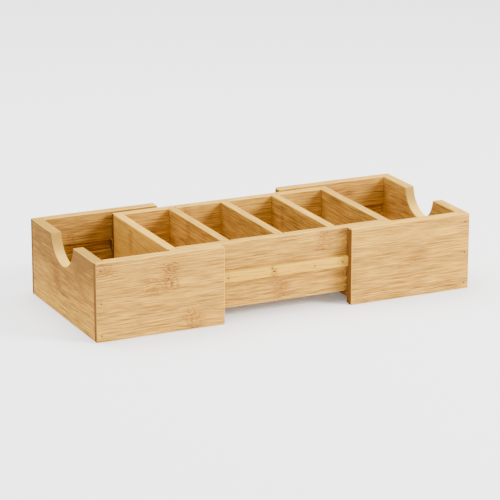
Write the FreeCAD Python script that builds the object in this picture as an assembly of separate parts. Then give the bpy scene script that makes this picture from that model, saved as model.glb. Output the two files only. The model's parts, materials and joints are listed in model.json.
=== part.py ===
"""Extending desk organizer in bamboo: a tray of four bays that slides in two end boxes.

Each end box has a front and a back panel, an end panel with a half-round finger notch, and a thin
floor; it is open towards the middle. The tray hangs on two side rails that run in grooves in the
boxes' panels, so each box draws out along X and leaves one more bay between its end panel and the
tray. Boards meet in rabbets, dados and grooves, and the corners are held with sunk steel brads.

Frame: X along the organizer, -Y the front, Z up. The origin is on the table, in the middle.
All lengths are in millimetres. The boxes stand drawn out by MOUTH_GAP.
"""

import FreeCAD
import Part
import math
import os

# End boxes
BOX_LENGTH = 102.0
BOX_DEPTH = 132.0
BOX_HEIGHT = 60.0
BOX_BOARD = 8.0
BOX_TONGUE = 4.0  # what the rabbet leaves of a front or back panel, outside the end panel
BOX_FLOOR = 3.0
BOX_FLOOR_LIFT = 5.0  # from the table to the underside of the floor
MOUTH_GAP = 105.0  # between the mouths of the two boxes
MOUTH_CORNER = 1.5  # round of the panels' upper corner at the mouth
FLOOR_STOP = 6.0  # the floor's grooves stop this far from the mouth

# Finger notch in each end panel
NOTCH_RADIUS = 22.0
NOTCH_DEPTH = 19.5
NOTCH_CORNER = 2.0

# Tray
TRAY_LENGTH = 184.0
TRAY_WALL = 7.0
TRAY_TONGUE = 3.5  # what the rabbet leaves of a tray wall, outside the end board
TRAY_FLOOR = 3.0
TRAY_FLOOR_LIFT = 2.0  # from the walls' lower edge to the underside of the floor
TRAY_SIDE_GAP = 2.5  # between a tray wall and the box panel beside it
TRAY_TOP_DROP = 1.0  # how far the tray's top lies below the boxes' top
TRAY_CLEARANCE = 0.6  # between the tray's lower edge and the boxes' floors
DIVIDER = 6.5
DIVIDER_COUNT = 3
DADO_DEPTH = 2.5  # how far a divider enters the walls

# Side rails of the tray
RAIL_THICKNESS = 4.5
RAIL_HEIGHT = 7.5
RAIL_LIFT = 29.5  # from the table to the rail's lower face
RAIL_CLEARANCE = 0.4  # above and below the rail in its groove
RAIL_END_CLEARANCE = 0.5  # between the rail's outer face and the bottom of its groove

# Rounds along the boards' edges
BOARD_EASE = 0.8
RAIL_EASE = 0.6
DIVIDER_EASE = 0.8

# Brads
BRAD_RADIUS = 0.65
BRAD_SINK = 0.4  # depth of the head below the surface
BRAD_COVER = 0.45  # wood left between a corner brad and the floor's edge
CORNER_BRAD_LENGTH = 16.0
BOX_BRAD_FOOT = 4.8  # from the table to the lowest brads of a box
BOX_BRAD_TOP = 6.2  # from a box's upper edge down to its highest brads
TRAY_BRAD_MARGIN = 10.6  # from the tray's lower and upper edge to its corner brads
RAIL_BRAD_MARGIN = 11.0  # from a rail's ends to its outermost brads
RAIL_BRAD_PLACES = (-47.0, -9.0, 24.5, 48.0)  # along X, unevenly spaced by hand
RAIL_BRAD_COVER = 1.0  # wood left between a rail brad and the dividers' dados

# Planes that several boards share, all on the +X, +Y side
mouth_x = MOUTH_GAP / 2
end_x = mouth_x + BOX_LENGTH
end_inner_x = end_x - BOX_BOARD
box_y = BOX_DEPTH / 2
box_inner_y = box_y - BOX_BOARD
box_rabbet_y = box_y - BOX_TONGUE
box_floor_top = BOX_FLOOR_LIFT + BOX_FLOOR

tray_x = TRAY_LENGTH / 2
tray_inner_x = tray_x - TRAY_WALL
tray_y = box_inner_y - TRAY_SIDE_GAP
tray_inner_y = tray_y - TRAY_WALL
tray_rabbet_y = tray_y - TRAY_TONGUE
tray_low = box_floor_top + TRAY_CLEARANCE
tray_top = BOX_HEIGHT - TRAY_TOP_DROP
tray_floor_low = tray_low + TRAY_FLOOR_LIFT
tray_floor_top = tray_floor_low + TRAY_FLOOR

rail_y = tray_y + RAIL_THICKNESS
rail_top = RAIL_LIFT + RAIL_HEIGHT
groove_y = rail_y + RAIL_END_CLEARANCE

# How far each floor enters the boards around it, clear of the brads in the middle of the end boards
box_floor_tongue = BOX_BOARD / 2 - BRAD_RADIUS - BRAD_COVER
tray_floor_tongue = TRAY_WALL / 2 - BRAD_RADIUS - BRAD_COVER

# A rail brad stops short of the dados
rail_brad_length = RAIL_THICKNESS - BRAD_SINK + TRAY_WALL - DADO_DEPTH - RAIL_BRAD_COVER

PAST = 1.0  # how far a cutting block runs past a face
NEAR = 1e-4


def block(x_span, y_span, z_span):
    """A box between two X, two Y and two Z values."""
    size = [high - low for low, high in (x_span, y_span, z_span)]
    return Part.makeBox(*size, FreeCAD.Vector(x_span[0], y_span[0], z_span[0]))


def lies_in(edge, axis, value):
    """Whether an edge lies in the plane where one coordinate (0, 1 or 2) has a value."""
    box = edge.BoundBox
    low = (box.XMin, box.YMin, box.ZMin)[axis]
    high = (box.XMax, box.YMax, box.ZMax)[axis]
    return abs(low - value) < NEAR and abs(high - value) < NEAR


def edges_where(shape, *planes):
    """The edges that lie in every given plane, each plane an (axis, value) pair."""
    return [edge for edge in shape.Edges if all(lies_in(edge, *plane) for plane in planes)]


def turned(shape):
    """The same piece on the opposite end, half a turn about the vertical axis."""
    copy = shape.copy()
    copy.rotate(FreeCAD.Vector(0, 0, 0), FreeCAD.Vector(0, 0, 1), 180)
    return copy


def pin(x, y, z, length):
    """A brad driven inwards along Y from the face at y, with its head sunk."""
    inward = -1 if y > 0 else 1
    head = FreeCAD.Vector(x, y + inward * BRAD_SINK, z)
    return Part.makeCylinder(BRAD_RADIUS, length, head, FreeCAD.Vector(0, inward, 0))


def pin_hole(x, y, z, length):
    """The hole of such a brad, open to the face."""
    inward = -1 if y > 0 else 1
    start = FreeCAD.Vector(x, y - inward * PAST, z)
    depth = PAST + BRAD_SINK + length
    return Part.makeCylinder(BRAD_RADIUS, depth, start, FreeCAD.Vector(0, inward, 0))


def drilled(shape, places, length):
    """A board with the holes of the brads at these places."""
    for x, y, z in places:
        shape = shape.cut(pin_hole(x, y, z, length))
    return shape


def box_brad_places():
    """Brads through both panels of the right-hand box into the edges of its end panel."""
    middle = end_x - BOX_BOARD / 2
    low, high = BOX_BRAD_FOOT, BOX_HEIGHT - BOX_BRAD_TOP
    heights = (low, (low + high) / 2, high)
    return [(middle, side * box_y, z) for side in (-1, 1) for z in heights]


def tray_brad_places():
    """Brads through both tray walls into the edges of the end boards."""
    middle = tray_x - TRAY_WALL / 2
    heights = (tray_low + TRAY_BRAD_MARGIN, tray_top - TRAY_BRAD_MARGIN)
    return [(x, y, z) for x in (-middle, middle) for y in (-tray_y, tray_y) for z in heights]


def rail_brad_places():
    """Brads through the front rail into the tray's front wall."""
    outermost = tray_x - RAIL_BRAD_MARGIN
    places = (-outermost, *RAIL_BRAD_PLACES, outermost)
    return [(x, -rail_y, RAIL_LIFT + RAIL_HEIGHT / 2) for x in places]


def divider_places():
    """The middles of the dividers, which share the tray into equal bays."""
    inside = 2 * tray_inner_x
    bay = (inside - DIVIDER_COUNT * DIVIDER) / (DIVIDER_COUNT + 1)
    first = -tray_inner_x + bay + DIVIDER / 2
    return [first + i * (bay + DIVIDER) for i in range(DIVIDER_COUNT)]


def box_floor():
    """Floor of the right-hand box: flush at the mouth, and let into the three boards behind it."""
    heights = (BOX_FLOOR_LIFT, box_floor_top)
    tongue_y = box_inner_y + box_floor_tongue
    middle = block((mouth_x, end_inner_x + box_floor_tongue), (-box_inner_y, box_inner_y), heights)
    sides = block((mouth_x + FLOOR_STOP, end_inner_x), (-tongue_y, tongue_y), heights)
    return middle.fuse(sides).removeSplitter()


def box_front_panel():
    """Front panel of the right-hand box: a board with a rabbet, a rail groove and a floor groove."""
    panel = block((mouth_x, end_x), (-box_y, -box_inner_y), (0, BOX_HEIGHT))
    panel = panel.makeFillet(MOUTH_CORNER, edges_where(panel, (0, mouth_x), (2, BOX_HEIGHT)))
    outside = edges_where(panel, (1, -box_y))
    inside = edges_where(panel, (1, -box_inner_y))
    end_edges = edges_where(panel, (0, end_x), (2, BOX_HEIGHT)) + edges_where(panel, (0, end_x), (2, 0))
    panel = panel.makeFillet(BOARD_EASE, outside + inside + end_edges)
    rabbet = block((end_inner_x, end_x + PAST), (-box_rabbet_y, 0), (-PAST, BOX_HEIGHT + PAST))
    rail_slot = block(
        (mouth_x - PAST, end_inner_x),
        (-groove_y, 0),
        (RAIL_LIFT - RAIL_CLEARANCE, rail_top + RAIL_CLEARANCE),
    )
    panel = panel.cut(rabbet).cut(rail_slot).cut(box_floor())
    return drilled(panel, box_brad_places(), CORNER_BRAD_LENGTH)


def box_back_panel():
    """Back panel of the right-hand box, the front panel's mirror image."""
    front = box_front_panel()
    return front.mirror(FreeCAD.Vector(0, 0, 0), FreeCAD.Vector(0, 1, 0))


def box_end_panel():
    """End panel of the right-hand box, with the finger notch in its upper edge."""
    panel = block((end_inner_x, end_x), (-box_rabbet_y, box_rabbet_y), (0, BOX_HEIGHT))
    centre_z = BOX_HEIGHT - NOTCH_DEPTH + NOTCH_RADIUS
    start = FreeCAD.Vector(end_inner_x - PAST, 0, centre_z)
    through = BOX_BOARD + 2 * PAST
    panel = panel.cut(Part.makeCylinder(NOTCH_RADIUS, through, start, FreeCAD.Vector(1, 0, 0)))
    corner_y = math.sqrt(NOTCH_RADIUS**2 - (centre_z - BOX_HEIGHT) ** 2)
    left_corner = edges_where(panel, (1, -corner_y), (2, BOX_HEIGHT))
    right_corner = edges_where(panel, (1, corner_y), (2, BOX_HEIGHT))
    panel = panel.makeFillet(NOTCH_CORNER, left_corner + right_corner)
    outlines = edges_where(panel, (0, end_inner_x)) + edges_where(panel, (0, end_x))
    sides = edges_where(panel, (1, -box_rabbet_y)) + edges_where(panel, (1, box_rabbet_y))
    eased = [edge for edge in outlines if not any(edge.isSame(side) for side in sides)]
    panel = panel.makeFillet(BOARD_EASE, eased)
    return drilled(panel.cut(box_floor()), box_brad_places(), CORNER_BRAD_LENGTH)


def tray_floor_space():
    """The tray's floor board, which is also the groove that holds it."""
    x = tray_inner_x + tray_floor_tongue
    y = tray_inner_y + tray_floor_tongue
    return block((-x, x), (-y, y), (tray_floor_low, tray_floor_top))


def divider_space(x):
    """A divider board at x, which is also the dado that holds it."""
    y = tray_inner_y + DADO_DEPTH
    return block((x - DIVIDER / 2, x + DIVIDER / 2), (-y, y), (tray_floor_top, tray_top))


def tray_front_wall():
    """Front wall of the tray, with rabbets for the ends, dados for the dividers and a floor groove."""
    wall = block((-tray_x, tray_x), (-tray_y, -tray_inner_y), (tray_low, tray_top))
    outlines = edges_where(wall, (1, -tray_y)) + edges_where(wall, (1, -tray_inner_y))
    wall = wall.makeFillet(BOARD_EASE, outlines)
    for low, high in ((tray_inner_x, tray_x + PAST), (-tray_x - PAST, -tray_inner_x)):
        wall = wall.cut(block((low, high), (-tray_rabbet_y, 0), (0, BOX_HEIGHT + PAST)))
    for x in divider_places():
        wall = wall.cut(divider_space(x))
    wall = wall.cut(tray_floor_space())
    wall = drilled(wall, tray_brad_places(), CORNER_BRAD_LENGTH)
    return drilled(wall, rail_brad_places(), rail_brad_length)


def tray_right_end():
    """Right end board of the tray, let into the rabbets of the walls."""
    board = block((tray_inner_x, tray_x), (-tray_rabbet_y, tray_rabbet_y), (tray_low, tray_top))
    long_edges = [
        edge
        for x in (tray_inner_x, tray_x)
        for z in (tray_low, tray_top)
        for edge in edges_where(board, (0, x), (2, z))
    ]
    board = board.makeFillet(BOARD_EASE, long_edges).cut(tray_floor_space())
    return drilled(board, tray_brad_places(), CORNER_BRAD_LENGTH)


def divider(x):
    """A divider with its upper edges eased."""
    board = divider_space(x)
    faces = (x - DIVIDER / 2, x + DIVIDER / 2)
    upper = [edge for face in faces for edge in edges_where(board, (0, face), (2, tray_top))]
    return board.makeFillet(DIVIDER_EASE, upper)


def front_rail():
    """Front rail: a strip pinned along the tray's front wall, which runs in the boxes' grooves."""
    strip = block((-tray_x, tray_x), (-rail_y, -tray_y), (RAIL_LIFT, rail_top))
    strip = strip.makeFillet(RAIL_EASE, edges_where(strip, (1, -rail_y)))
    return drilled(strip, rail_brad_places(), rail_brad_length)


def brads(places, length):
    """A group of brads, one solid each."""
    return Part.makeCompound([pin(x, y, z, length) for x, y, z in places])


def right_box():
    """The five nodes of the right-hand box, by the name they have without their side."""
    return {
        "front_panel": box_front_panel(),
        "back_panel": box_back_panel(),
        "end_panel": box_end_panel(),
        "floor": box_floor(),
        "brads": brads(box_brad_places(), CORNER_BRAD_LENGTH),
    }


def box_nodes():
    """Both boxes; the left one is the right one turned, so its front was the other's back."""
    opposite = {"front_panel": "back_panel", "back_panel": "front_panel"}
    nodes = {}
    for name, shape in right_box().items():
        nodes["right_" + name] = shape
        nodes["left_" + opposite.get(name, name)] = turned(shape)
    return nodes


def tray_nodes():
    """The tray's boards, rails and brads."""
    wall = tray_front_wall()
    end = tray_right_end()
    rail = front_rail()
    rail_brads = brads(rail_brad_places(), rail_brad_length)
    nodes = {
        "tray_front_wall": wall,
        "tray_back_wall": turned(wall),
        "tray_right_end": end,
        "tray_left_end": turned(end),
        "tray_floor": tray_floor_space(),
        "tray_brads": brads(tray_brad_places(), CORNER_BRAD_LENGTH),
        "front_rail": rail,
        "back_rail": turned(rail),
        "front_rail_brads": rail_brads,
        "back_rail_brads": turned(rail_brads),
    }
    for number, x in enumerate(divider_places(), start=1):
        nodes[f"divider_{number}"] = divider(x)
    return nodes


def main():
    os.makedirs("parts", exist_ok=True)
    for name, shape in {**box_nodes(), **tray_nodes()}.items():
        shape.exportStep(f"parts/{name}.step")


main()
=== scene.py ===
"""Looks of an extending bamboo desk organizer, laid out as an add-on.

The CAD nodes keep their shape and get bamboo materials; the brads are new pieces. Lengths are in
metres, X runs along the organizer, -Y is its front and Z is up.
"""

import json
import math
from typing import NamedTuple

import bpy
import numpy as np
from bpy.props import FloatProperty, FloatVectorProperty, IntProperty, PointerProperty
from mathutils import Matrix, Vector


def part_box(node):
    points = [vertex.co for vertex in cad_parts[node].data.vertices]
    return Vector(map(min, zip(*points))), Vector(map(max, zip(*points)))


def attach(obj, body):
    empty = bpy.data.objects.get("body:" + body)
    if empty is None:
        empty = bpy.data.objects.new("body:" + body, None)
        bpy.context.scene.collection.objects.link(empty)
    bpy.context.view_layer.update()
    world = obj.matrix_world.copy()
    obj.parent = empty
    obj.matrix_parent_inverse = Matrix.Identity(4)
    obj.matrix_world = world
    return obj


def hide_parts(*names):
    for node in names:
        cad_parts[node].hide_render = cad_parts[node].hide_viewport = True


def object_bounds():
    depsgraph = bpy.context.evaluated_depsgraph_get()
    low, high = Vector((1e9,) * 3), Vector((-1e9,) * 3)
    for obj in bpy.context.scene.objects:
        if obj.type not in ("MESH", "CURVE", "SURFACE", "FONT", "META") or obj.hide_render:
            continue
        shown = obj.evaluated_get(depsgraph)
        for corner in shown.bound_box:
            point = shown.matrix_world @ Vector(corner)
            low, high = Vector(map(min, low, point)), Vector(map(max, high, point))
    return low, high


bl_info = {
    "name": "Bamboo desk organizer",
    "version": (1, 0, 0),
    "blender": (4, 5, 0),
    "location": "3D View > Sidebar > Organizer",
    "description": "Dresses the boards, rails and brads of an extending bamboo desk organizer",
    "category": "Object",
}

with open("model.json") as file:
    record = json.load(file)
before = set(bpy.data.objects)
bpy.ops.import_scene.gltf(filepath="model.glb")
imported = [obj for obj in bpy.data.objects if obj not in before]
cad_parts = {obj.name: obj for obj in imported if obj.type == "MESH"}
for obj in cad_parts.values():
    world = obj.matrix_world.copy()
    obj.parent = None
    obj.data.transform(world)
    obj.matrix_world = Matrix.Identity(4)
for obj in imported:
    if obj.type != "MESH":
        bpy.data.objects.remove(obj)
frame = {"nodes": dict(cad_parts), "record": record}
CAD_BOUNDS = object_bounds()
MILLIMETRE = 0.001

X, Y, Z = 0, 1, 2

WHITE = (1.0, 1.0, 1.0, 1.0)


# Properties


class BambooProperties(bpy.types.PropertyGroup):
    """Colours and sizes of the bamboo."""

    pale: FloatVectorProperty(
        name="Pale fibre",
        description="Lightest colour between the fibres",
        subtype="COLOR",
        size=4,
        min=0.0,
        max=1.0,
        default=(0.66, 0.365, 0.050, 1.0),
    )
    straw: FloatVectorProperty(
        name="Straw",
        description="Main colour of the boards",
        subtype="COLOR",
        size=4,
        min=0.0,
        max=1.0,
        default=(0.41, 0.207, 0.036, 1.0),
    )
    honey: FloatVectorProperty(
        name="Honey streak",
        description="Colour of the darker streaks along the grain",
        subtype="COLOR",
        size=4,
        min=0.0,
        max=1.0,
        default=(0.195, 0.092, 0.0195, 1.0),
    )
    # Also the colour of the band of painted shade beside the right box's mouth
    knuckle: FloatVectorProperty(
        name="Knuckle and shade",
        description="Reddish brown of the marks where the cane had its rings",
        subtype="COLOR",
        size=4,
        min=0.0,
        max=1.0,
        default=(0.17, 0.054, 0.018, 1.0),
    )
    dark_end: FloatVectorProperty(
        name="End grain",
        description="Colour of the cut ends of the boards",
        subtype="COLOR",
        size=4,
        min=0.0,
        max=1.0,
        default=(0.135, 0.052, 0.014, 1.0),
    )
    # Painted highlight: the pale colour laid on eased edges, upper sides and the notches, standing
    # for the light they catch
    painted_highlight: FloatVectorProperty(
        name="Rubbed edge",
        description="Colour of the eased edges and the notches, where sanding leaves the wood pale",
        subtype="COLOR",
        size=4,
        min=0.0,
        max=1.0,
        default=(0.79, 0.50, 0.08, 1.0),
    )
    rail_tint: FloatVectorProperty(
        name="Rail tint",
        description="Colour that the rails' paler bamboo is multiplied by",
        subtype="COLOR",
        size=4,
        min=0.0,
        max=1.0,
        default=(0.93, 0.93, 0.62, 1.0),
    )
    strip_width: FloatProperty(
        name="Strip width",
        description="Width of the glued strips that make up a board",
        unit="LENGTH",
        default=0.0183,
        min=0.004,
        max=0.06,
    )
    roughness: FloatProperty(
        name="Roughness",
        description="Roughness of the lacquered surface",
        subtype="FACTOR",
        default=0.46,
        min=0.0,
        max=1.0,
    )
    fibre_relief: FloatProperty(
        name="Fibre relief",
        description="Height of the fibres under the lacquer",
        unit="LENGTH",
        default=0.00004,
        min=0.0,
        max=0.001,
    )


class BradProperties(bpy.types.PropertyGroup):
    """Sizes and colour of the brads."""

    rim: FloatProperty(
        name="Head rim",
        description="Width of the rounded rim of a brad's head",
        unit="LENGTH",
        default=0.00012,
        min=0.00002,
        max=0.0003,
    )
    dish: FloatProperty(
        name="Head dish",
        description="Depth that the punch leaves in the middle of the head",
        unit="LENGTH",
        default=0.00012,
        min=0.0,
        max=0.0005,
    )
    steel: FloatVectorProperty(
        name="Steel",
        description="Colour of the dull steel",
        subtype="COLOR",
        size=4,
        min=0.0,
        max=1.0,
        default=(0.010, 0.007, 0.005, 1.0),
    )
    sides: IntProperty(
        name="Sides",
        description="Number of faces round a brad",
        default=24,
        min=8,
        max=64,
    )


class StageProperties(bpy.types.PropertyGroup):
    """Camera, floor and lights."""

    azimuth: FloatProperty(
        name="Azimuth",
        description="Where the camera stands round the organizer, from its front towards +X",
        subtype="ANGLE",
        default=math.radians(-25.44),
    )
    elevation: FloatProperty(
        name="Elevation",
        description="How far above the horizon the camera stands",
        subtype="ANGLE",
        default=math.radians(16.77),
    )
    distance: FloatProperty(
        name="Distance",
        description="Distance from the camera to its target",
        unit="LENGTH",
        default=1.869,
        min=0.2,
    )
    target: FloatVectorProperty(
        name="Target",
        description="Point that the camera looks at",
        subtype="XYZ",
        size=3,
        default=(-0.0008, 0.0, 0.0326),
    )
    lens: FloatProperty(
        name="Focal length",
        description="Focal length of the camera in millimetres",
        unit="CAMERA",
        default=175.46,
        min=10.0,
    )
    floor_size: FloatProperty(
        name="Floor size",
        description="Side of the square floor",
        unit="LENGTH",
        default=30.0,
        min=1.0,
    )
    daylight: FloatProperty(
        name="Daylight",
        description="Strength of the even light from all round",
        default=0.9,
        min=0.0,
    )
    key_power: FloatProperty(
        name="Key light",
        description="Power of the soft light above the front right, in watts",
        unit="POWER",
        default=104.0,
        min=0.0,
    )
    fill_power: FloatProperty(
        name="Fill light",
        description="Power of the low soft light in front, in watts",
        unit="POWER",
        default=12.0,
        min=0.0,
    )
    top_power: FloatProperty(
        name="Top light",
        description="Power of the soft light overhead, in watts",
        unit="POWER",
        default=108.0,
        min=0.0,
    )


# Node trees


class Graph:
    """Adds nodes to one node tree. What a method returns is the output that later nodes take."""

    def __init__(self, tree):
        self.tree = tree

    def add(self, kind, inputs=(), output=0, **settings):
        """A node with its settings, its inputs by name or number, and one of its outputs."""
        node = self.tree.nodes.new(kind)
        for name, value in settings.items():
            setattr(node, name, value)
        for key, value in dict(inputs).items():
            if isinstance(value, bpy.types.NodeSocket):
                self.tree.links.new(value, node.inputs[key])
            else:
                node.inputs[key].default_value = value
        return node.outputs[output] if node.outputs else None

    def maths(self, operation, *values):
        """One operation on one or more numbers."""
        return self.add("ShaderNodeMath", enumerate(values), operation=operation)

    def total(self, first, *others):
        """All the numbers added up."""
        for other in others:
            first = self.maths("ADD", first, other)
        return first

    def scaled(self, value, factor):
        """A number times a factor."""
        return self.maths("MULTIPLY", value, factor)

    def vector(self, x, y, z):
        """A vector from its three components."""
        return self.add("ShaderNodeCombineXYZ", {0: x, 1: y, 2: z})

    def stretched(self, vector, factors):
        """A vector with each component times its own factor."""
        return self.add("ShaderNodeVectorMath", {0: vector, 1: factors}, operation="MULTIPLY")

    def noise(self, place, per_metre, detail=2.0, roughness=0.5):
        """Noise about 0, from about -0.5 to 0.5, with its own scale along each direction."""
        inputs = {
            "Vector": self.stretched(place, per_metre),
            "Scale": 1.0,
            "Detail": detail,
            "Roughness": roughness,
        }
        return self.maths("SUBTRACT", self.add("ShaderNodeTexNoise", inputs), 0.5)

    def step(self, value, low, high):
        """Rises smoothly from 0 at low to 1 at high."""
        inputs = {"Value": value, "From Min": low, "From Max": high}
        return self.add("ShaderNodeMapRange", inputs, interpolation_type="SMOOTHSTEP")

    def mix(self, factor, first, second, blend="MIX"):
        """A mix of two colours; the node keeps its colours in inputs 6 and 7 and in output 2."""
        inputs = {0: factor, 6: first, 7: second}
        settings = {"data_type": "RGBA", "blend_type": blend, "clamp_factor": True}
        return self.add("ShaderNodeMix", inputs, 2, **settings)

    def ramp(self, factor, stops):
        """A colour ramp through (position, colour) stops."""
        output = self.add("ShaderNodeValToRGB", {0: factor})
        elements = output.node.color_ramp.elements
        while len(elements) < len(stops):
            elements.new(0.5)
        for element, (position, colour) in zip(elements, stops):
            element.position = position
            element.color = colour
        return output

    def surface(self, inputs):
        """The surface shader and the material's output, which end the graph."""
        shader = self.add("ShaderNodeBsdfPrincipled", inputs)
        self.add("ShaderNodeOutputMaterial", {"Surface": shader})


def new_material(name):
    """An empty material, and the graph that fills it."""
    material = bpy.data.materials.new(name)
    material.use_nodes = True
    material.node_tree.nodes.clear()
    return material, Graph(material.node_tree)


# Bamboo


# Scales of the bamboo's noises, per metre along the grain, across the strips and through the board
SLOW_WEAVE = (9.0, 22.0, 22.0)
FAST_WEAVE = (70.0, 90.0, 90.0)
FIBRES = (44.0, 1150.0, 1150.0)
BUNDLES = (22.0, 600.0, 600.0)
BANDS = (8.0, 170.0, 170.0)
CLOUDS = (17.0, 50.0, 50.0)
PORES = (120.0, 3200.0, 3200.0)
BLUSH = (12.0, 70.0, 70.0)
DASHES = (420.0, 800.0, 800.0)
END_DOTS = (900.0, 1500.0, 1500.0)
RAGGED_ENDS = (70.0, 330.0, 330.0)
RAGGED_SIDES = (150.0, 150.0, 150.0)

# What each pattern adds to the tone, which runs from honey at 0 to pale at 1
MIDDLE_TONE = 0.5
FIBRE_WEIGHT = 2.7
BUNDLE_WEIGHT = 0.9
BAND_WEIGHT = 0.55
CLOUD_WEIGHT = 0.34
STRIP_WEIGHT = 0.16
PORE_WEIGHT = -0.18
GLUE_WEIGHT = -0.14

# How far the pattern is moved along the grain, in metres: by a random share of the first for each
# strip, and by the second for each step of the seed
STRIP_SHIFT = 0.9
SEED_SHIFT = 1.37

# How far the fibres weave sideways, and how far the noises move the outline of a knuckle mark
SLOW_SWING = 5 * MILLIMETRE
FAST_SWING = 1.2 * MILLIMETRE
KNUCKLE_SWING = 4 * MILLIMETRE
RAGGED_LENGTH = 9 * MILLIMETRE
RAGGED_WIDTH = 5 * MILLIMETRE

# A knuckle mark is full up to the first share of its width from its middle and gone at the second;
# its sides fade over twice the last length
MARK_CORE = 0.1
MARK_REACH = 0.75
MARK_FADE = 0.8 * MILLIMETRE

# A glue line is full up to the first distance from the strip's edge and gone at the second
GLUE_CORE = 0.05 * MILLIMETRE
GLUE_REACH = 0.3 * MILLIMETRE

# Multiplies the colour where a strip is redder than the rest, and how strong that gets
WARM_TINT = (1.0, 0.86, 0.80, 1.0)
WARMTH = 0.45

# Dull lacquer: little mirror reflection at any angle
LACQUER_SPECULAR = 0.02
LACQUER_IOR = 1.2
RELIEF_STRENGTH = 0.5

# The finger notch in an end panel: its axis, from the panel's low corner, its radius, and how far
# past the radius the painted highlight on its arc is full and gone
NOTCH_MIDDLE = 62 * MILLIMETRE
NOTCH_AXIS = 62.5 * MILLIMETRE
NOTCH_RADIUS = 22 * MILLIMETRE
NOTCH_FULL = 0.1 * MILLIMETRE
NOTCH_GONE = 0.6 * MILLIMETRE

# Eased edges less than this from the middle, where the boxes' mouths are, get the stronger painted
# highlight
MOUTH_REACH = 60 * MILLIMETRE

# How far the painted highlight pales the wood, from 0 to 1: an eased edge, what is added along the
# grain and at a mouth, a board's upper side, as if lit from above, the notch's arc, and what the
# arc loses where it cuts across the grain
EDGE_HIGHLIGHT = 0.2
LONG_EDGE_HIGHLIGHT = 0.4
UPPER_SIDE_HIGHLIGHT = 0.25
NOTCH_HIGHLIGHT = 0.7
NOTCH_END_HIGHLIGHT_LOSS = 0.4

# The largest component of a normal: on a flat side, and where an eased edge gets the full painted
# highlight
FLAT = 0.99
EASED = 0.9


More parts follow.
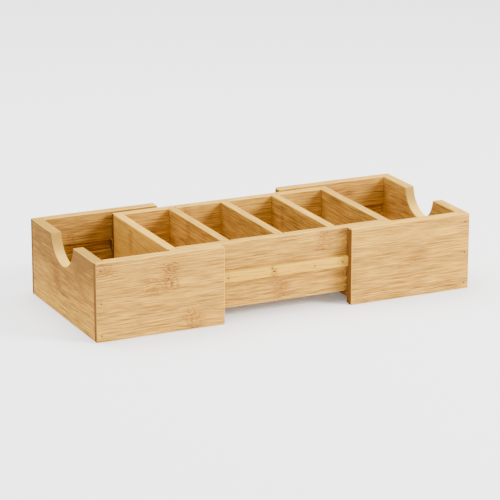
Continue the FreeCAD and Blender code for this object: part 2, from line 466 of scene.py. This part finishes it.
def fibre_group(props):
    """Node group of bamboo laid in strips, shared by every board.

    Place is measured from the board's low corner: along the grain, across the strips and through
    the board. Tone is a sum of noises stretched along the grain, a random shift for each strip and
    the glue lines between strips; a ramp turns it into colour. The fibres weave a little, and more
    at the knuckles, which are a reddish stain broken into short dashes; the same stain also lays
    painted shade where a mark stands for a shadow. Cut ends are darker and speckled by the fibre
    ends, and a painted highlight pales the wood where light would catch eased edges and tops.
    """
    tree = bpy.data.node_groups.new("Bamboo fibres", "ShaderNodeTree")
    sockets = (
        ("Place", "NodeSocketVector", "INPUT"),
        ("Seed", "NodeSocketFloat", "INPUT"),
        ("First edge", "NodeSocketFloat", "INPUT"),
        ("Tone", "NodeSocketFloat", "INPUT"),
        ("Knuckle and shade", "NodeSocketFloat", "INPUT"),
        ("End", "NodeSocketFloat", "INPUT"),
        ("Painted highlight", "NodeSocketFloat", "INPUT"),
        ("Colour", "NodeSocketColor", "OUTPUT"),
        ("Roughness", "NodeSocketFloat", "OUTPUT"),
        ("Height", "NodeSocketFloat", "OUTPUT"),
    )
    for name, kind, side in sockets:
        tree.interface.new_socket(name=name, in_out=side, socket_type=kind)
    graph = Graph(tree)
    given = tree.nodes.new("NodeGroupInput").outputs
    result = tree.nodes.new("NodeGroupOutput").inputs

    along, across, through = graph.add("ShaderNodeSeparateXYZ", {0: given["Place"]}).node.outputs
    from_edge = graph.maths("SUBTRACT", across, given["First edge"])
    strip_place = graph.maths("DIVIDE", from_edge, props.strip_width)
    strip = graph.maths("FLOOR", strip_place)
    lots = graph.add(
        "ShaderNodeTexWhiteNoise",
        {"Vector": graph.vector(strip, given["Seed"], 0.0)},
        noise_dimensions="3D",
    ).node.outputs
    lot = graph.maths("SUBTRACT", lots["Value"], 0.5)
    second_lot = graph.add("ShaderNodeSeparateColor", {0: lots["Color"]}).node.outputs["Green"]

    strip_shift = graph.scaled(lots["Value"], STRIP_SHIFT)
    seed_shift = graph.scaled(given["Seed"], SEED_SHIFT)
    shifted = graph.total(along, graph.total(strip_shift, seed_shift))
    straight = graph.vector(shifted, across, through)
    slow_weave = graph.scaled(graph.noise(straight, SLOW_WEAVE, detail=1.0), SLOW_SWING)
    fast_weave = graph.noise(straight, FAST_WEAVE, detail=1.0)
    fast_swing = graph.total(FAST_SWING, graph.scaled(given["Knuckle and shade"], KNUCKLE_SWING))
    weave = graph.total(slow_weave, graph.maths("MULTIPLY", fast_weave, fast_swing))
    place = graph.vector(shifted, graph.total(across, weave), through)

    fibres = graph.noise(place, FIBRES, detail=3.0, roughness=0.7)
    bundles = graph.noise(place, BUNDLES, roughness=0.6)
    bands = graph.noise(place, BANDS)
    clouds = graph.noise(place, CLOUDS)
    pore = graph.step(graph.noise(place, PORES, detail=1.0), 0.14, 0.26)

    to_edge = graph.scaled(graph.maths("PINGPONG", strip_place, 0.5), props.strip_width)
    glue = graph.maths("SUBTRACT", 1.0, graph.step(to_edge, GLUE_CORE, GLUE_REACH))

    tone = graph.total(
        MIDDLE_TONE,
        given["Tone"],
        graph.scaled(fibres, FIBRE_WEIGHT),
        graph.scaled(bundles, BUNDLE_WEIGHT),
        graph.scaled(bands, BAND_WEIGHT),
        graph.scaled(clouds, CLOUD_WEIGHT),
        graph.scaled(lot, STRIP_WEIGHT),
        graph.scaled(pore, PORE_WEIGHT),
        graph.scaled(glue, GLUE_WEIGHT),
    )
    stops = ((0.0, props.honey), (MIDDLE_TONE, props.straw), (1.0, props.pale))
    colour = graph.ramp(tone, stops)
    blush = graph.step(graph.noise(place, BLUSH, detail=1.0), -0.05, 0.25)
    redder = graph.maths("MULTIPLY", blush, graph.total(0.25, second_lot))
    warm = graph.mix(1.0, colour, WARM_TINT, "MULTIPLY")
    colour = graph.mix(graph.scaled(redder, WARMTH), colour, warm)

    dashes = graph.step(graph.noise(place, DASHES, roughness=0.6), -0.08, 0.12)
    broken = graph.total(0.25, graph.scaled(dashes, 0.75))
    # The stain also lays painted shade where a mark stands for a shadow
    stain = graph.maths("MULTIPLY", given["Knuckle and shade"], broken)
    colour = graph.mix(stain, colour, props.knuckle)

    dots = graph.step(graph.noise(place, END_DOTS, detail=1.0), -0.1, 0.2)
    speckled = graph.mix(graph.scaled(dots, 0.25), props.dark_end, props.straw)
    colour = graph.mix(given["End"], colour, speckled)
    # Painted highlight: paler wood where light would catch eased edges, upper sides and the notch's
    # arc
    colour = graph.mix(given["Painted highlight"], colour, props.painted_highlight)

    rougher = (graph.scaled(fibres, 0.12), graph.scaled(pore, 0.08))
    roughness = graph.total(props.roughness, *rougher)
    raised = graph.scaled(fibres, 0.6)
    height = graph.total(raised, graph.scaled(pore, -0.5), graph.scaled(glue, -0.6))
    tree.links.new(colour, result["Colour"])
    tree.links.new(roughness, result["Roughness"])
    tree.links.new(height, result["Height"])
    return tree


class Mark(NamedTuple):
    """One knuckle mark, or a band of painted shade, in millimetres from the board's low corner.

    Its middle is along the grain and its low and high edges are across it. Lean is its sideways
    shift per millimetre of height.
    """

    middle: float
    low: float
    high: float
    width: float
    strength: float
    lean: float = 0.0


class Board(NamedTuple):
    """One bamboo board: its node, which way its grain runs and its strips are laid, its marks.

    Seed picks the stretch of the pattern that the board shows. The first edge between two strips is
    in millimetres from the board's low corner. Tone is added to the pattern's own, so more is
    paler, and drifts by so much per metre across the board.
    """

    node: str
    grain: int
    across: int
    seed: float
    first_edge: float
    tone: float
    marks: tuple
    drift: float = 0.0

    @property
    def through(self):
        return ({X, Y, Z} - {self.grain, self.across}).pop()


def knuckle_and_shade_mask(graph, along, across, place, marks):
    """How strongly each point is marked, by a knuckle stain or by a band of painted shade.

    A mark is a smear with a ragged outline: along the grain it fades from a core over the mark's
    width, and across the grain it ends softly at the strip's edges.
    """
    ragged = graph.scaled(graph.noise(place, RAGGED_ENDS), RAGGED_LENGTH)
    sideways = graph.scaled(graph.noise(place, RAGGED_SIDES, detail=1.0), RAGGED_WIDTH)
    wandering = graph.total(along, ragged)
    uneven = graph.total(across, sideways)
    mask = 0.0
    for mark in marks:
        low, high = mark.low * MILLIMETRE, mark.high * MILLIMETRE
        width = mark.width * MILLIMETRE
        height = graph.maths("SUBTRACT", across, (low + high) / 2)
        centre = graph.total(graph.scaled(height, mark.lean), mark.middle * MILLIMETRE)
        offset = graph.maths("ABSOLUTE", graph.maths("SUBTRACT", wandering, centre))
        faded = graph.step(offset, MARK_CORE * width, MARK_REACH * width)
        smear = graph.maths("SUBTRACT", 1.0, faded)
        above = graph.step(uneven, low - MARK_FADE, low + MARK_FADE)
        below = graph.step(uneven, high + MARK_FADE, high - MARK_FADE)
        inside = graph.maths("MULTIPLY", above, below)
        part = graph.scaled(graph.maths("MULTIPLY", smear, inside), mark.strength)
        mask = graph.maths("MAXIMUM", part, mask)
    return mask


def notch_highlight_mask(graph, axes, end):
    """How far a painted highlight pales the arc of the finger notch, found by its distance from
    the axis. It stands for the light that the arc catches.

    The highlight is strongest at the arc's foot, which faces up and lies along the grain; end is 1
    where the arc cuts across the grain, and there the highlight is weaker.
    """
    sideways = graph.maths("SUBTRACT", axes[Y], NOTCH_MIDDLE)
    height = graph.maths("SUBTRACT", axes[Z], NOTCH_AXIS)
    spoke = graph.vector(0.0, sideways, height)
    distance = graph.add("ShaderNodeVectorMath", {0: spoke}, 1, operation="LENGTH")
    arc = graph.step(distance, NOTCH_RADIUS + NOTCH_GONE, NOTCH_RADIUS + NOTCH_FULL)
    arc_highlight = graph.maths("SUBTRACT", NOTCH_HIGHLIGHT, graph.scaled(end, NOTCH_END_HIGHLIGHT_LOSS))
    return graph.maths("MULTIPLY", arc, arc_highlight)


def painted_highlight_mask(graph, board, texture, facing, axes, end):
    """How far a painted highlight, standing for caught light, pales each point.

    An eased edge faces between two axes, so its steepest component is well under 1. Edges along
    the grain and at the mouths get the strongest painted highlight. Boards on edge get a painted
    highlight on top, and so does the arc of a finger notch.
    """
    with_grain = graph.maths("ABSOLUTE", facing[board.grain])
    lengthwise = graph.step(with_grain, 0.6, 0.1)
    steepest = with_grain
    for axis in (board.across, board.through):
        steepest = graph.maths("MAXIMUM", steepest, graph.maths("ABSOLUTE", facing[axis]))
    from_middle = graph.add("ShaderNodeSeparateXYZ", {0: texture["Object"]})
    at_mouth = graph.maths("LESS_THAN", graph.maths("ABSOLUTE", from_middle), MOUTH_REACH)
    palest = graph.maths("MAXIMUM", lengthwise, at_mouth)
    painted_light = graph.total(EDGE_HIGHLIGHT, graph.scaled(palest, LONG_EDGE_HIGHLIGHT))
    painted_highlight = graph.maths("MULTIPLY", graph.step(steepest, FLAT, EASED), painted_light)
    # Painted highlight on the upper side of a board on edge, standing for the light from above
    if board.across == Z:
        upper_highlight = graph.scaled(graph.step(facing[Z], 0.8, 1.0), UPPER_SIDE_HIGHLIGHT)
        painted_highlight = graph.maths("MAXIMUM", painted_highlight, upper_highlight)
    if board.node.endswith("end_panel"):
        painted_highlight = graph.maths("MAXIMUM", painted_highlight, notch_highlight_mask(graph, axes, end))
    return painted_highlight


def bamboo_material(board, fibres, props):
    """The material of one board, read in the board's own directions."""
    material, graph = new_material("Bamboo " + board.node.replace("_", " "))
    texture = graph.add("ShaderNodeTexCoord").node.outputs
    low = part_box(board.node)[0]
    inside = graph.add("ShaderNodeVectorMath", {0: texture["Object"], 1: low}, operation="SUBTRACT")
    axes = graph.add("ShaderNodeSeparateXYZ", {0: inside}).node.outputs
    along, across = axes[board.grain], axes[board.across]
    place = graph.vector(along, across, axes[board.through])
    facing = graph.add("ShaderNodeSeparateXYZ", {0: texture["Normal"]}).node.outputs
    end = graph.step(graph.maths("ABSOLUTE", facing[board.grain]), 0.4, 0.95)
    inputs = {
        "Place": place,
        "Seed": board.seed,
        "First edge": board.first_edge * MILLIMETRE,
        "Tone": graph.total(graph.scaled(across, board.drift), board.tone),
        "Knuckle and shade": knuckle_and_shade_mask(graph, along, across, place, board.marks),
        "End": end,
        # Painted highlight on eased edges, upper sides and the notch's arc
        "Painted highlight": painted_highlight_mask(graph, board, texture, facing, axes, end),
    }
    wood = graph.add("ShaderNodeGroup", inputs, node_tree=fibres).node.outputs
    colour = wood["Colour"]
    if board.node.endswith("rail"):
        colour = graph.mix(1.0, colour, props.rail_tint, "MULTIPLY")
    relief = {
        "Strength": RELIEF_STRENGTH,
        "Distance": props.fibre_relief,
        "Height": wood["Height"],
    }
    graph.surface(
        {
            "Base Color": colour,
            "Roughness": wood["Roughness"],
            "Normal": graph.add("ShaderNodeBump", relief),
            "Specular IOR Level": LACQUER_SPECULAR,
            "IOR": LACQUER_IOR,
        }
    )
    return material


def dress(boards):
    """Gives each board its own bamboo."""
    props = bpy.context.scene.organizer_bamboo
    fibres = bpy.data.node_groups.get("Bamboo fibres") or fibre_group(props)
    for board in boards:
        mesh = frame["nodes"][board.node].data
        mesh.materials.clear()
        mesh.materials.append(bamboo_material(board, fibres, props))


# Boards of the organizer


BOX_PANELS = (
    Board(
        "left_front_panel",
        grain=X,
        across=Z,
        seed=1.0,
        first_edge=14.4,
        tone=0.0,
        marks=(
            Mark(58.2, 32.9, 53.5, width=16.0, strength=0.9),
            Mark(46.0, 30.0, 44.0, width=24.0, strength=0.5),
            Mark(76.0, 1.0, 15.4, width=19.0, strength=0.75),
            Mark(7.0, 48.5, 59.0, width=18.0, strength=0.6),
        ),
    ),
    Board(
        "left_back_panel",
        grain=X,
        across=Z,
        seed=2.0,
        first_edge=11.0,
        tone=-0.16,
        marks=(Mark(30.0, 29.3, 47.6, width=8.0, strength=0.6),),
    ),
    Board(
        "right_front_panel",
        grain=X,
        across=Z,
        seed=3.0,
        first_edge=8.0,
        tone=0.1,
        drift=-1.0,
        marks=(Mark(60.0, 30.0, 44.6, width=16.0, strength=0.22),),
    ),
    Board(
        "right_back_panel",
        grain=X,
        across=Z,
        seed=4.0,
        first_edge=16.0,
        tone=0.0,
        marks=(Mark(62.0, 34.3, 52.6, width=8.0, strength=0.6),),
    ),
)
END_PANELS = (
    Board(
        "left_end_panel",
        grain=Y,
        across=Z,
        seed=5.0,
        first_edge=21.5,
        tone=0.2,
        # Painted shade: the drift darkens the panel towards its top and leaves it paler at its
        # foot, standing for the floor's bounced light on the lower part
        drift=-14.0,
        marks=(Mark(75.2, 19.5, 39.8, width=14.0, strength=0.8, lean=0.35),),
    ),
    Board(
        "right_end_panel",
        grain=Y,
        across=Z,
        seed=6.0,
        first_edge=12.0,
        tone=0.0,
        marks=(Mark(31.0, 12.0, 30.3, width=8.0, strength=0.7, lean=0.2),),
    ),
)
BOX_FLOORS = (
    Board(
        "left_floor",
        grain=X,
        across=Y,
        seed=7.0,
        first_edge=3.0,
        tone=-0.05,
        marks=(Mark(40.0, 39.6, 57.9, width=8.0, strength=0.5),),
    ),
    Board(
        "right_floor",
        grain=X,
        across=Y,
        seed=8.0,
        first_edge=9.0,
        tone=-0.05,
        marks=(Mark(55.0, 63.9, 82.2, width=8.0, strength=0.5),),
    ),
)
TRAY_WALLS = (
    Board(
        "tray_front_wall",
        grain=X,
        across=Z,
        seed=9.0,
        first_edge=17.4,
        tone=0.0,
        marks=(
            Mark(126.5, 33.5, 51.0, width=15.0, strength=0.65),
            Mark(90.3, 1.0, 17.4, width=15.0, strength=0.7),
            # Painted shade, not a knuckle: a full-height band darkening the wall beside the right
            # box's mouth, where the panel end shades it
            Mark(144.0, -2.0, 52.0, width=7.0, strength=0.5),
        ),
    ),
    Board(
        "tray_back_wall",
        grain=X,
        across=Z,
        seed=10.0,
        first_edge=14.0,
        tone=0.0,
        marks=(Mark(60.0, 32.3, 51.0, width=8.0, strength=0.6),),
    ),
    Board(
        "tray_left_end",
        grain=Y,
        across=Z,
        seed=11.0,
        first_edge=10.0,
        # Painted light: this end is made paler to stand for the light bounced into the left box
        # around it
        tone=0.42,
        marks=(Mark(70.0, 28.3, 46.6, width=8.0, strength=0.5),),
    ),
    Board(
        "tray_right_end",
        grain=Y,
        across=Z,
        seed=12.0,
        first_edge=15.0,
        tone=0.0,
        marks=(Mark(35.0, 15.0, 33.3, width=8.0, strength=0.5),),
    ),
)
TRAY_FLOOR = (
    Board(
        "tray_floor",
        grain=X,
        across=Y,
        seed=13.0,
        first_edge=6.0,
        tone=-0.05,
        marks=(Mark(110.0, 42.6, 60.9, width=8.0, strength=0.5),),
    ),
)
DIVIDERS = (
    Board(
        "divider_1",
        grain=Y,
        across=Z,
        seed=14.0,
        first_edge=9.0,
        tone=0.0,
        marks=(Mark(62.0, 27.3, 46.0, width=8.0, strength=0.5),),
    ),
    Board(
        "divider_2",
        grain=Y,
        across=Z,
        seed=15.0,
        first_edge=14.0,
        tone=0.0,
        marks=(Mark(28.0, 14.0, 32.3, width=8.0, strength=0.5),),
    ),
    Board(
        "divider_3",
        grain=Y,
        across=Z,
        seed=16.0,
        first_edge=6.0,
        tone=0.0,
        marks=(Mark(80.0, 24.3, 42.6, width=8.0, strength=0.5),),
    ),
)
RAILS = (
    Board(
        "front_rail",
        grain=X,
        across=Z,
        seed=17.0,
        first_edge=-2.0,
        tone=0.4,
        marks=(
            Mark(82.8, -1.0, 9.0, width=5.0, strength=0.9),
            Mark(45.0, -1.0, 9.0, width=7.0, strength=0.3),
            Mark(140.0, -1.0, 9.0, width=9.0, strength=0.35),
            Mark(171.0, -1.0, 9.0, width=14.0, strength=0.4),
        ),
    ),
    Board(
        "back_rail",
        grain=X,
        across=Z,
        seed=18.0,
        first_edge=-2.0,
        tone=0.45,
        marks=(Mark(120.0, -1.0, 9.0, width=6.0, strength=0.35),),
    ),
)


# Brads


STEEL_NAME = "Brad steel"
STEEL_SPECKLE = (4000.0, 4000.0, 4000.0)
STEEL_ROUGHNESS = 0.5
STEEL_METALLIC = 0.3
RUST = (0.06, 0.035, 0.02, 1.0)

# Points on the curve of a head's dish, and as many on its rim
CURVE_POINTS = 5

# The foot of a brad tapers over this many radii, to this share of the radius
FOOT_LENGTH = 2
FOOT_SHARE = 0.35

# All the points of a pin round to one square of this size, and no two pins to the same one
PIN_CELL = 2 * MILLIMETRE


def brad_profile(radius, length, rim, dish):
    """Half section of a brad from the middle of its head to the middle of its foot.

    The head is dished by a cosine, its rim is a quarter circle, the shank is straight and the foot
    tapers to a blunt point.
    """
    head = np.linspace(0.0, 1.0, CURVE_POINTS)
    head_r = head * (radius - rim)
    head_s = dish * (1 + np.cos(np.pi * head)) / 2
    turn = np.linspace(0.0, np.pi / 2, CURVE_POINTS)[1:]
    rim_r = radius - rim + rim * np.sin(turn)
    rim_s = rim * (1 - np.cos(turn))
    foot_r = np.array([radius, FOOT_SHARE * radius, 0.0])
    foot_s = np.array([length - FOOT_LENGTH * radius, length, length])
    return np.concatenate([head_r, rim_r, foot_r]), np.concatenate([head_s, rim_s, foot_s])


def turned_pins(places, directions, profile, sides):
    """Vertices and faces of a row of pins: the profile turned about each pin's line along Y.

    A ring's point is (r cos a, s, r sin a), moved to the pin's head; the first and last points of
    the profile lie on the line, so they are single vertices and close the pin.
    """
    radius, depth = profile
    rings = len(radius) - 2
    angle = np.arange(sides) * 2 * np.pi / sides
    ring_x = radius[1:-1, None] * np.cos(angle)
    ring_z = radius[1:-1, None] * np.sin(angle)
    ring_y = np.repeat(depth[1:-1, None], sides, axis=1)
    skin = np.stack([ring_x, ring_y, ring_z], axis=-1).reshape(-1, 3)
    poles = np.array([[0.0, depth[0], 0.0], [0.0, depth[-1], 0.0]])
    pin = np.concatenate([skin, poles])
    here = (np.arange(rings - 1)[:, None] * sides + np.arange(sides)).reshape(-1)
    beside = (np.arange(rings - 1)[:, None] * sides + (np.arange(sides) + 1) % sides).reshape(-1)
    quads = np.stack([here, beside, beside + sides, here + sides], axis=-1)
    rim = np.arange(sides)
    after = (rim + 1) % sides
    first, last = rings * sides, rings * sides + 1
    top = np.stack([np.full(sides, first), after, rim], axis=-1)
    base = (rings - 1) * sides
    bottom = np.stack([np.full(sides, last), base + rim, base + after], axis=-1)
    vertices, faces = [], []
    for number, (place, inward) in enumerate(zip(places, directions)):
        flip = np.array([1.0, inward, 1.0])
        vertices.append(pin * flip + place)
        start = number * len(pin)
        for block in (quads, top, bottom):
            turned = block if inward > 0 else block[:, ::-1]
            faces.extend((turned + start).tolist())
    return np.concatenate(vertices), faces


def steel_material(props):
    """Dull dark steel with a faint speckle of rust."""
    material, graph = new_material(STEEL_NAME)
    place = graph.add("ShaderNodeTexCoord").node.outputs["Object"]
    speckle = graph.noise(place, STEEL_SPECKLE)
    tint = graph.mix(graph.step(speckle, 0.0, 0.3), props.steel, RUST)
    rough = graph.total(STEEL_ROUGHNESS, graph.scaled(speckle, 0.3))
    graph.surface({"Base Color": tint, "Roughness": rough, "Metallic": STEEL_METALLIC})
    return material


def pin_places(node):
    """The pins in a CAD node of brads.

    Returns the middles of their heads, which way along Y each runs, and their length and radius.
    """
    mesh = frame["nodes"][node].data
    points = np.zeros(len(mesh.vertices) * 3)
    mesh.vertices.foreach_get("co", points)
    points = points.reshape(-1, 3)
    cells = np.round(points[:, [X, Z]] / PIN_CELL).astype(int)
    side = np.sign(points[:, Y]).astype(int)
    keys = np.column_stack([cells, side])
    places, directions, lengths, radii = [], [], [], []
    for key in np.unique(keys, axis=0):
        mine = points[(keys == key).all(axis=1)]
        low, high = mine.min(axis=0), mine.max(axis=0)
        middle = (low + high) / 2
        in_front = middle[Y] < 0
        places.append((middle[X], low[Y] if in_front else high[Y], middle[Z]))
        directions.append(1.0 if in_front else -1.0)
        lengths.append(high[Y] - low[Y])
        radii.append((high[Z] - low[Z]) / 2)
    return places, directions, max(lengths), max(radii)


def make_brads(node, body):
    """New brads in the place of a CAD node's plain pins."""
    props = bpy.context.scene.organizer_brads
    places, directions, length, radius = pin_places(node)
    profile = brad_profile(radius, length, props.rim, props.dish)
    vertices, faces = turned_pins(places, directions, profile, props.sides)
    mesh = bpy.data.meshes.new(node + "_heads")
    mesh.from_pydata(vertices.tolist(), [], faces)
    mesh.materials.append(bpy.data.materials.get(STEEL_NAME) or steel_material(props))
    piece = bpy.data.objects.new(node + "_heads", mesh)
    bpy.context.scene.collection.objects.link(piece)
    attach(piece, body)
    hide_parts(node)


# Stage


FLOOR_WHITE = (0.94, 0.94, 0.94, 1.0)
FLOOR_ROUGHNESS = 0.9
FLOOR_GLOW = 0.15
FLOOR_DROP = 0.1 * MILLIMETRE

# Where each light stands and the side of its square
KEY_LIGHT = ((1.44, -1.3, 1.03), 0.8)
FILL_LIGHT = ((-0.35, -1.95, 0.3), 1.2)
TOP_LIGHT = ((-0.2, 0.4, 1.8), 2.0)


def area_light(name, where, aim, power):
    """A square area light, turned towards a point."""
    place, size = where
    data = bpy.data.lights.new(name, "AREA")
    data.shape = "SQUARE"
    data.size = size
    data.energy = power
    light = bpy.data.objects.new(name, data)
    light.location = place
    light.rotation_euler = (Vector(aim) - Vector(place)).to_track_quat("-Z", "Y").to_euler()
    bpy.context.scene.collection.objects.link(light)


def floor_material():
    """Matt white with a faint glow, so that it stays bright far from the lights."""
    material, graph = new_material("White floor")
    graph.surface(
        {
            "Base Color": FLOOR_WHITE,
            "Roughness": FLOOR_ROUGHNESS,
            "Emission Color": WHITE,
            "Emission Strength": FLOOR_GLOW,
        }
    )
    return material


def make_floor(size):
    """A square floor just under the organizer's feet."""
    half = size / 2
    height = CAD_BOUNDS[0].z - FLOOR_DROP
    outline = ((-half, -half), (half, -half), (half, half), (-half, half))
    corners = [(x, y, height) for x, y in outline]
    mesh = bpy.data.meshes.new("floor")
    mesh.from_pydata(corners, [], [(0, 1, 2, 3)])
    mesh.materials.append(floor_material())
    floor = bpy.data.objects.new("floor", mesh)
    bpy.context.scene.collection.objects.link(floor)


def make_world(strength):
    """Even white light from all round."""
    world = bpy.data.worlds.new("studio")
    world.use_nodes = True
    light = world.node_tree.nodes["Background"].inputs
    light["Color"].default_value = WHITE
    light["Strength"].default_value = strength
    bpy.context.scene.world = world


def make_camera(props):
    """The camera, on a sphere about its target."""
    level = math.cos(props.elevation)
    back = Vector(
        (
            math.sin(props.azimuth) * level,
            -math.cos(props.azimuth) * level,
            math.sin(props.elevation),
        )
    )
    data = bpy.data.cameras.new("camera")
    data.lens = props.lens
    camera = bpy.data.objects.new("camera", data)
    camera.location = Vector(props.target) + back * props.distance
    camera.rotation_euler = back.to_track_quat("Z", "Y").to_euler()
    bpy.context.scene.collection.objects.link(camera)
    bpy.context.scene.camera = camera


# Operators


class ORGANIZER_OT_box_panels(bpy.types.Operator):
    """Dress the front and back panels of both boxes"""

    bl_idname = "organizer.box_panels"
    bl_label = "Box panels"

    def execute(self, context):
        dress(BOX_PANELS)
        return {"FINISHED"}


class ORGANIZER_OT_end_panels(bpy.types.Operator):
    """Dress the notched end panels"""

    bl_idname = "organizer.end_panels"
    bl_label = "End panels"

    def execute(self, context):
        dress(END_PANELS)
        return {"FINISHED"}


class ORGANIZER_OT_floors(bpy.types.Operator):
    """Dress the floors of the boxes and the tray"""

    bl_idname = "organizer.floors"
    bl_label = "Floors"

    def execute(self, context):
        dress(BOX_FLOORS + TRAY_FLOOR)
        return {"FINISHED"}


class ORGANIZER_OT_tray_walls(bpy.types.Operator):
    """Dress the walls and ends of the tray"""

    bl_idname = "organizer.tray_walls"
    bl_label = "Tray walls"

    def execute(self, context):
        dress(TRAY_WALLS)
        return {"FINISHED"}


class ORGANIZER_OT_dividers(bpy.types.Operator):
    """Dress the dividers"""

    bl_idname = "organizer.dividers"
    bl_label = "Dividers"

    def execute(self, context):
        dress(DIVIDERS)
        return {"FINISHED"}


class ORGANIZER_OT_rails(bpy.types.Operator):
    """Dress the paler side rails"""

    bl_idname = "organizer.rails"
    bl_label = "Rails"

    def execute(self, context):
        dress(RAILS)
        return {"FINISHED"}


class ORGANIZER_OT_brads(bpy.types.Operator):
    """Make the brads of the boxes, the tray and the rails"""

    bl_idname = "organizer.brads"
    bl_label = "Brads"

    def execute(self, context):
        for body, nodes in frame["record"]["behaviour"]["bodies"].items():
            for node in nodes:
                if node.endswith("brads"):
                    make_brads(node, body)
        return {"FINISHED"}


class ORGANIZER_OT_stage(bpy.types.Operator):
    """Make the floor, the lights and the camera"""

    bl_idname = "organizer.stage"
    bl_label = "Stage"

    def execute(self, context):
        props = context.scene.organizer_stage
        make_floor(props.floor_size)
        make_world(props.daylight)
        aim = Vector(props.target)
        area_light("key", KEY_LIGHT, aim, props.key_power)
        area_light("fill", FILL_LIGHT, aim, props.fill_power)
        area_light("top", TOP_LIGHT, aim, props.top_power)
        make_camera(props)
        return {"FINISHED"}


class ORGANIZER_PT_pieces(bpy.types.Panel):
    """Lists the pieces and their sizes and colours"""

    bl_idname = "ORGANIZER_PT_pieces"
    bl_label = "Desk organizer"
    bl_space_type = "VIEW_3D"
    bl_region_type = "UI"
    bl_category = "Organizer"

    def draw(self, context):
        layout = self.layout
        for operator in OPERATORS:
            layout.operator(operator.bl_idname)
        scene = context.scene
        for group in (scene.organizer_bamboo, scene.organizer_brads, scene.organizer_stage):
            box = layout.box()
            for name in group.__annotations__:
                box.prop(group, name)


PROPERTY_GROUPS = (BambooProperties, BradProperties, StageProperties)
OPERATORS = (
    ORGANIZER_OT_box_panels,
    ORGANIZER_OT_end_panels,
    ORGANIZER_OT_floors,
    ORGANIZER_OT_tray_walls,
    ORGANIZER_OT_dividers,
    ORGANIZER_OT_rails,
    ORGANIZER_OT_brads,
    ORGANIZER_OT_stage,
)


def register():
    """Adds the classes, and the properties to the scene."""
    for kind in (*PROPERTY_GROUPS, *OPERATORS, ORGANIZER_PT_pieces):
        bpy.utils.register_class(kind)
    bpy.types.Scene.organizer_bamboo = PointerProperty(type=BambooProperties)
    bpy.types.Scene.organizer_brads = PointerProperty(type=BradProperties)
    bpy.types.Scene.organizer_stage = PointerProperty(type=StageProperties)


def unregister():
    """Takes the properties and the classes away again."""
    del bpy.types.Scene.organizer_stage
    del bpy.types.Scene.organizer_brads
    del bpy.types.Scene.organizer_bamboo
    for kind in reversed((*PROPERTY_GROUPS, *OPERATORS, ORGANIZER_PT_pieces)):
        bpy.utils.unregister_class(kind)


def main():
    """Makes every piece and the stage."""
    register()
    bpy.ops.organizer.box_panels()
    bpy.ops.organizer.end_panels()
    bpy.ops.organizer.floors()
    bpy.ops.organizer.tray_walls()
    bpy.ops.organizer.dividers()
    bpy.ops.organizer.rails()
    bpy.ops.organizer.brads()
    bpy.ops.organizer.stage()


if __name__ == "__main__":
    main()
